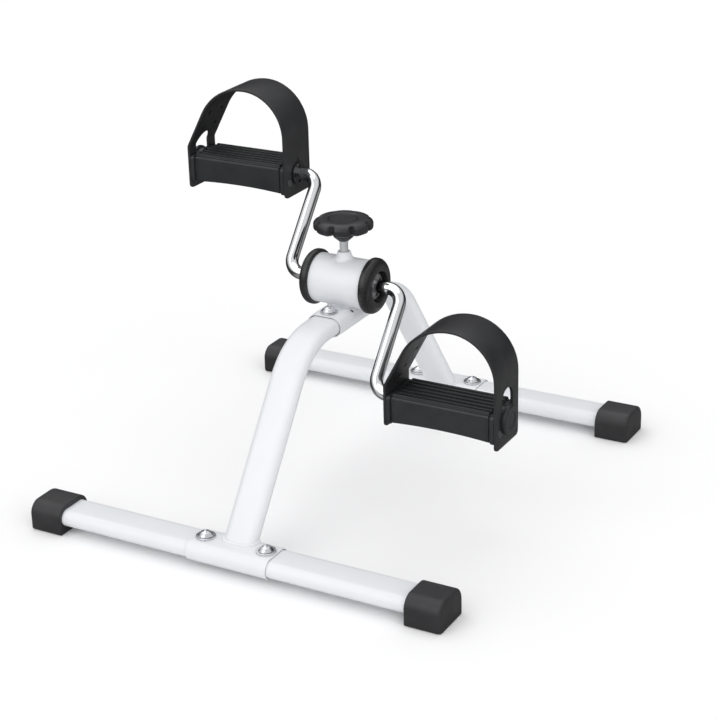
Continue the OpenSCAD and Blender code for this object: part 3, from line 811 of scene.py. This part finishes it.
strap_low, strap_high = span("right_pedal_strap")
STRAP_T = 2.5
PLATE_X = 4
PEDAL_IN = strap_low.x
PEDAL_OUT = strap_high.x
PEDAL_MID = (PEDAL_IN + PEDAL_OUT) / 2
BODY_IN = PEDAL_IN + STRAP_T + PLATE_X
BODY_OUT = PEDAL_OUT - STRAP_T - PLATE_X
STRAP_W = strap_high.y - strap_low.y
BODY_W = STRAP_W - 2
STRAP_TOP = strap_high.z - PIN_RIGHT.z
OUTER_DROP = strap_low.z - PIN_RIGHT.z
INNER_DROP = OUTER_DROP + 3
STRAP_LEAN, STRAP_APEX, STRAP_LONG_R = math.radians(28), 11, 54
STRAP_KNEE = 19
BODY_LOW, BODY_TOP = -16, 12
RIBS, RIB_W, RIB_H = 7, 2.6, 2.4
SAG = 2
BOSS_R = 11.5
BUSH_TUBE_R = 10
POCKET_X = BODY_OUT - 2.5
WINDOW_R, WINDOW_Z, WINDOW_LOW = 11, 18.5, 10


def pedal_section(low, inset):
    """Pedal body across its length: rounded corners, ribs on top."""
    low_r, top_r, foot = 2, 2.5, 0.35
    half = BODY_W / 2 - inset
    face = BODY_TOP - RIB_H - inset
    points = arc(-half + low_r, low + low_r, low_r, 180, 270, 4)
    points += arc(half - low_r, low + low_r, low_r, 270, 360, 4)
    points += arc(half - top_r, face - top_r, top_r, 0, 90, 5)
    step = (BODY_W - 2 * top_r) / (RIBS - 1)
    rib = max(RIB_H - inset * 0.6, 0.05)
    r = min(0.6, rib * 0.6)
    outermost = half - top_r - 0.1 - RIB_W / 2
    for i in range(RIBS - 1, -1, -1):
        c = max(min((i - (RIBS - 1) / 2) * step, outermost), -outermost)
        left, right = c - RIB_W / 2, c + RIB_W / 2
        points += [(right + foot, face), (right, face + 0.3 * rib)]
        points += arc(right - r, face + rib - r, r, 0, 90, 3)
        points += arc(left + r, face + rib - r, r, 90, 180, 3)
        points += [(left, face + 0.3 * rib), (left - foot, face)]
    points += arc(-half + top_r, face - top_r, top_r, 90, 180, 5)
    return points


def pedal_body(word, side, pin):
    """Moulded body with end plates, hollow from below, with a bush tube through it."""
    length = BODY_OUT - BODY_IN
    ends = [(0.0, 1.1), (1.1, 1.1), (1.3, 0.5), (1.8, 0.0)]
    stops = ends + [(length * i / 14, 0.0) for i in range(1, 14)] + [(length - x, d) for x, d in ends[::-1]]
    rings = []
    for x, inset in stops:
        low = BODY_LOW + SAG * (1 - (2 * x / length - 1) ** 2)
        rings.append([Vector((BODY_IN + x, y, z)) for y, z in pedal_section(low, inset)])
    ob = solid(word + "_pedal_moulding", loft(rings))
    pockets, web, wall = 4, 2, 3
    step = (length - web) / pockets
    pocket_y, pocket_top = BODY_W / 2 - wall, BODY_TOP - RIB_H - wall
    for i in range(pockets):
        x = BODY_IN + web + i * step
        carve(ob, box((x, -pocket_y, BODY_LOW - 2), (x + step - web, pocket_y, pocket_top)))
    carve(ob, rod_x(BUSH_TUBE_R, BODY_IN - 1, BODY_OUT + 1, ORIGIN), "UNION")
    carve(ob, rod_x(BOSS_R, PEDAL_IN, BODY_IN - 1.5, ORIGIN), "UNION")
    half, plate_low, plate_top = STRAP_W / 2 - 0.2, BODY_LOW - 1.5, BODY_TOP - 2
    corners = [(-half, plate_low), (half, plate_low), (half, plate_top), (-half, plate_top)]
    for x in (BODY_IN - PLATE_X, BODY_OUT):
        carve(ob, bar_x(rounded(corners, 4, 6), x, x + PLATE_X, 0.5), "UNION")
    carve(ob, rod_x(BUSH_R, PEDAL_IN - 1, POCKET_X + 1, ORIGIN))
    carve(ob, rod_x(BOSS_R, POCKET_X, PEDAL_OUT, ORIGIN))
    place_pedal(ob, side, pin)
    show(ob, word + "_pedal", PEDAL, [word + "_pedal_body"], edge=0.35, segments=2, sharp=50)


def place_pedal(ob, side, pin):
    """Moves a piece drawn round the pin to its pedal, mirrored for the left one."""
    move = Matrix.Translation(Vector((0, pin.y, pin.z)) * MM)
    ob.data.transform(move @ Matrix.Diagonal((side, 1, 1, 1)))
    if side < 0:
        ob.data.flip_normals()


def strap_line(inset, long_low, short_low):
    """The strap's line from the foot of its long side over the arch to the foot of its short side."""
    half = (PEDAL_OUT - PEDAL_IN) / 2
    lean, apex, long_r = STRAP_LEAN, STRAP_APEX, STRAP_LONG_R
    cz = STRAP_TOP - long_r
    turn = Vector((apex - long_r * math.cos(lean), cz + long_r * math.sin(lean)))
    knee = turn.y - (turn.x + half) / math.tan(lean)
    soft = 7
    corner = Vector((-half, knee))
    after = (turn - corner).normalized()
    reach = soft * math.tan(lean / 2)
    points = [(-half + inset, z) for z in spaced(long_low, knee - reach, 7)]
    for i in range(1, 6):
        a = lean * i / 5
        x = -half + soft - (soft - inset) * math.cos(a)
        points.append((x, knee - reach + (soft - inset) * math.sin(a)))
    start = corner + after * reach + Vector((math.cos(lean), -math.sin(lean))) * inset
    stop = turn + Vector((math.cos(lean), -math.sin(lean))) * inset
    points += [tuple(start.lerp(stop, share)) for share in (0.25, 0.5, 0.75)]
    points += arc(apex, cz, long_r - inset, 180 - math.degrees(lean), 90, 18)
    short_r = half - apex
    points += arc(apex, STRAP_TOP - short_r, short_r - inset, 90, 0, 18)[1:]
    points += [(half - inset, z) for z in spaced(STRAP_TOP - short_r, short_low, 7)[1:]]
    return points


def side_reach(z, long_side):
    """How far the strap's outer face stands from the pedal's middle at a height, on one of its sides."""
    half = (PEDAL_OUT - PEDAL_IN) / 2
    if long_side:
        return half - max(z - STRAP_KNEE, 0) * math.tan(STRAP_LEAN)
    short_r = half - STRAP_APEX
    return STRAP_APEX + math.sqrt(short_r ** 2 - max(z - STRAP_TOP + short_r, 0) ** 2)


def spaced(first, last, count):
    """Heights from first to last, evenly spaced."""
    return [first + (last - first) * i / (count - 1) for i in range(count)]


def strap(word, side, pin):
    """Toe strap: one moulded band with rounded edges and rounded ends."""
    long_low = INNER_DROP if side > 0 else OUTER_DROP
    short_low = OUTER_DROP if side > 0 else INNER_DROP
    outer, inner = strap_line(0, long_low, short_low), strap_line(STRAP_T, long_low, short_low)
    corner = 4.0
    count = len(outer)
    travelled = [0.0]
    for i in range(1, count):
        travelled.append(travelled[-1] + (Vector(outer[i]) - Vector(outer[i - 1])).length)
    foot_stops = [corner * (1 - math.cos(math.pi / 2 * k / 6)) for k in range(7)]

    def at(line, s):
        """Point of a line at a distance along the outer line."""
        for i in range(1, count):
            if travelled[i] >= s or i == count - 1:
                t = (s - travelled[i - 1]) / (travelled[i] - travelled[i - 1])
                return Vector(line[i - 1]).lerp(Vector(line[i]), t)

    total = travelled[-1]
    distances = sorted(set(foot_stops + [s for s in travelled if corner < s < total - corner]
                           + [total - s for s in foot_stops]))
    rings = []
    round_edge = 0.9
    for s in distances:
        near = min(s, total - s)
        half = STRAP_W / 2
        if near < corner:
            half -= corner - math.sqrt(max(corner ** 2 - (corner - near) ** 2, 0))
        p, q = at(outer, s), at(inner, s)
        across = q - p
        ring = []
        for y, depth in band_section(half, STRAP_T, round_edge):
            point = p + across * (depth / STRAP_T)
            ring.append(Vector((PEDAL_MID * side + point.x, y, point.y)))
        rings.append(ring)
    ob = solid(word + "_toe_strap", loft(rings))
    strap_cuts(ob, side)
    ob.data.transform(Matrix.Translation(Vector((0, pin.y, pin.z)) * MM))
    show(ob, word + "_pedal", STRAP, [word + "_pedal_strap"], edge=0.3, segments=2, sharp=50)


def strap_cuts(ob, side):
    """Foot window, holes round the boss and the cap, adjusting dimples and a slit above the boss."""
    window = arc(0, WINDOW_Z, WINDOW_R, 0, 180, 20) + [(-WINDOW_R, WINDOW_LOW), (WINDOW_R, WINDOW_LOW)]
    through = sorted((side * (PEDAL_OUT - 16), side * (PEDAL_OUT + 4)))
    carve(ob, loft([[Vector((x, y, z)) for y, z in window] for x in through]))
    carve(ob, rod_x(BOSS_R, *sorted((side * (PEDAL_OUT - 6), side * (PEDAL_OUT + 4))), ORIGIN))
    carve(ob, rod_x(BOSS_R + 0.2, *sorted((side * (PEDAL_IN - 2), side * (PEDAL_IN + 6))), ORIGIN))
    hole_r, skin_left = 1.9, 1.1
    outer_spots, inner_spots = [(-10, 36), (10, 36), (-10, 52), (10, 52)], [(4, 30), (10, 46)]
    for way, spots in ((side, outer_spots), (-side, inner_spots)):
        for y, z in spots:
            face = PEDAL_MID * side + way * side_reach(z, way < 0)
            ends = sorted((face - way * skin_left, face - way * 7))
            carve(ob, rod_x(hole_r, *ends, Vector((0, y, z)), 20))
    slit = turned(box((-8, -0.6, -2.2), (8, 0.6, 2.2)), Matrix.Rotation(math.radians(35), 3, "X"))
    carve(ob, moved(slit, Vector((side * PEDAL_IN, 1, 13.5))))


def band_section(half, t, r, steps=4):
    """Across the band, as (y, depth from the outer face), with rounded edges."""
    points = []
    corners = [(half - r, r, -90), (half - r, t - r, 0), (-half + r, t - r, 90), (-half + r, r, 180)]
    for y, depth, start in corners:
        points += arc(y, depth, r, start, start + 90, steps)
    return points


def pedal_trim(word, side, pin):
    """End cap disc and the heads of the strap's rivets."""
    at = Vector((side * PEDAL_OUT, pin.y, pin.z))
    out = span("right_pedal_cap")[1].x - PEDAL_OUT
    r = span("right_pedal_cap")[1].y - PIN_RIGHT.y
    outline = [(9.8, -5), (BOSS_R - 0.2, -5), (BOSS_R - 0.2, 0.05), (r - 0.4, 0.05), (r, 0.4)]
    outline += arc(r - 2.2, out - 2.2, 2.2, 0, 90, 6)
    outline += [(r * 0.62, out), (r * 0.58, out - 0.2), (r * 0.55, out - 0.7), (r * 0.25, out - 0.55),
                (0.3, out - 0.5), (0.3, out - 2), (9.8, out - 2)]
    ob = solid(word + "_pedal_end_cap", lathe(outline, at, X * side, 64))
    show(ob, word + "_pedal", PEDAL, [word + "_pedal_cap"], sharp=45)

    low, high = span("right_pedal_rivets")
    head_r, head_h = 3.6, 1.8
    dome = [(head_r * math.cos(a), head_h * math.sin(a)) for a in [math.pi / 2 * k / 6 for k in range(6)]]
    outline = [(2, -4), (2, 0)] + dome + [(0.3, head_h)]
    rivet_y = (high.y - low.y) / 2 - head_r
    inner_z, outer_z = high.z - PIN_RIGHT.z - head_r, low.z - PIN_RIGHT.z + head_r
    heads = []
    for s in (-1, 1):
        for x, way, z in ((PEDAL_IN, -1, inner_z), (PEDAL_OUT, 1, outer_z)):
            spot = Vector((side * x, pin.y + s * rivet_y, pin.z + z))
            heads.append(lathe(outline, spot, X * (side * way), 24, loop=False))
    show(solid(word + "_strap_rivets", merge(heads)), word + "_pedal", RIVET,
         [word + "_pedal_rivets"], sharp=50)


# ---- CAD nodes that stay, with better materials ----

def kept_nodes(look, names):
    """Gives some CAD nodes that stay one material."""
    for name in names:
        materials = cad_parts[name].data.materials
        materials.clear()
        materials.append(look)


# ---- studio ----

def camera():
    """Camera at the photograph's viewing angle."""
    azimuth, elevation, roll = math.radians(29.6), math.radians(22.9), math.radians(-1.5)
    aside, above, distance = 7.7, 111.2, 1851
    back = Vector((math.sin(azimuth) * math.cos(elevation), -math.cos(azimuth) * math.cos(elevation),
                   math.sin(elevation)))
    right = Vector((math.cos(azimuth), math.sin(azimuth), 0))
    up = back.cross(right)
    right, up = (right * math.cos(roll) + up * math.sin(roll), up * math.cos(roll) - right * math.sin(roll))
    data = bpy.data.cameras.new("camera")
    data.sensor_width = 36
    data.lens = 96.2
    data.clip_start, data.clip_end = 0.05, 200
    ob = bpy.data.objects.new("camera", data)
    scene.collection.objects.link(ob)
    place = Matrix((right, up, back)).transposed().to_4x4()
    place.translation = (right * aside + up * above + back * distance) * MM
    ob.matrix_world = place
    scene.camera = ob


def floor():
    """Plain pale floor. Shiny pieces see dark cards on it instead, darkest at the left behind the object."""
    half = 40.0
    mesh = bpy.data.meshes.new("floor")
    corners = [(-half, -half, -0.0003), (half, -half, -0.0003), (half, half, -0.0003), (-half, half, -0.0003)]
    mesh.from_pydata(corners, [], [(0, 1, 2, 3)])
    ob = bpy.data.objects.new("floor", mesh)
    scene.collection.objects.link(ob)
    look = Look("pale floor", (0.95, 0.95, 0.955), 0.9)
    look.rough(look.noise(3, 2), 0.86, 0.94)
    card = look.nodes.new("ShaderNodeBsdfDiffuse")
    across = look.nodes.new("ShaderNodeVectorMath")
    across.operation = "DOT_PRODUCT"
    across.inputs[1].default_value = (1, -0.6, 0)
    look.links.new(look.place, across.inputs[0])
    look.links.new(look.ramp(across.outputs["Value"], 0.04, 0.26, -0.35, -0.12), card.inputs["Color"])
    mix = look.nodes.new("ShaderNodeMixShader")
    look.links.new(look.nodes.new("ShaderNodeLightPath").outputs["Is Glossy Ray"], mix.inputs["Fac"])
    look.links.new(look.shader.outputs["BSDF"], mix.inputs[1])
    look.links.new(card.outputs["BSDF"], mix.inputs[2])
    look.links.new(mix.outputs["Shader"], look.nodes["Material Output"].inputs["Surface"])
    ob.data.materials.append(look.material)


def sun(name, towards, strength, spread, mirrored_in_gloss=True):
    """A very soft, far light; towards points from the object to it."""
    data = bpy.data.lights.new(name, "SUN")
    data.energy = strength
    data.angle = math.radians(spread)
    ob = bpy.data.objects.new(name, data)
    ob.rotation_euler = Vector(towards).to_track_quat("Z", "Y").to_euler()
    ob.visible_glossy = mirrored_in_gloss
    scene.collection.objects.link(ob)


def studio():
    """Soft daylight-white studio. Shiny pieces see it bright above and in front, and dark behind and low."""
    world = bpy.data.worlds.new("studio")
    world.use_nodes = True
    scene.world = world
    nodes, links = world.node_tree.nodes, world.node_tree.links
    plain = nodes["Background"]
    plain.inputs["Color"].default_value = (1, 1, 1, 1)
    plain.inputs["Strength"].default_value = 0.64
    height = nodes.new("ShaderNodeVectorMath")
    height.operation = "DOT_PRODUCT"
    height.inputs[1].default_value = (0, -0.28, 1)
    links.new(nodes.new("ShaderNodeTexCoord").outputs["Generated"], height.inputs[0])
    ramp = nodes.new("ShaderNodeValToRGB")
    stops = ramp.color_ramp.elements
    stops[0].position, stops[0].color = 0.10, (0.02, 0.02, 0.022, 1)
    stops[1].position, stops[1].color = 0.55, (0.75, 0.75, 0.76, 1)
    links.new(height.outputs["Value"], ramp.inputs["Fac"])
    glossy = nodes.new("ShaderNodeBackground")
    links.new(ramp.outputs["Color"], glossy.inputs["Color"])
    seen = nodes.new("ShaderNodeBackground")
    path = nodes.new("ShaderNodeLightPath")
    first, second = nodes.new("ShaderNodeMixShader"), nodes.new("ShaderNodeMixShader")
    links.new(path.outputs["Is Glossy Ray"], first.inputs["Fac"])
    links.new(plain.outputs["Background"], first.inputs[1])
    links.new(glossy.outputs["Background"], first.inputs[2])
    seen.inputs["Color"].default_value = (1, 1, 1, 1)
    links.new(path.outputs["Is Camera Ray"], second.inputs["Fac"])
    links.new(first.outputs["Shader"], second.inputs[1])
    links.new(seen.outputs["Background"], second.inputs[2])
    links.new(second.outputs["Shader"], nodes["World Output"].inputs["Surface"])
    sun("key", (-0.35, -1.0, 0.75), 0.62, 50)
    sun("top", (-0.3, 0.2, 1.0), 0.68, 60)
    sun("fill", (0.9, -0.5, 0.5), 0.90, 60, mirrored_in_gloss=False)
    scene.view_settings.view_transform = "Standard"


camera()
floor()
studio()
hub()
collar()
bracket()
leg("rear_leg", Matrix.Identity(3))
leg("front_leg", Matrix.Rotation(math.pi, 3, "Z"))
for end, y in (("front", -BAR_Y), ("rear", BAR_Y)):
    foot_bar(end, y)
    foot_cap(end, "left")
    foot_cap(end, "right")
fasteners()
hub_cover(-1, "left")
hub_cover(1, "right")
screw()
knob()
for word, side, pin in (("left", -1, PIN_LEFT), ("right", 1, PIN_RIGHT)):
    crank(word, side, pin)
    pedal_body(word, side, pin)
    strap(word, side, pin)
    pedal_trim(word, side, pin)
kept_nodes(STEEL, ["friction_drum", "drum_pins", "crank_clips", "pedal_push_nuts", "pad_plate",
                   "foot_weld_nuts", "bracket_weld_nuts"])
kept_nodes(BLACK_STEEL, ["pedal_stop_rings"])
kept_nodes(ZINC, ["left_thrust_washer", "right_thrust_washer"])
kept_nodes(NYLON, ["left_hub_bush", "right_hub_bush", "left_pedal_bushes", "right_pedal_bushes"])
kept_nodes(FELT, ["brake_pad"])
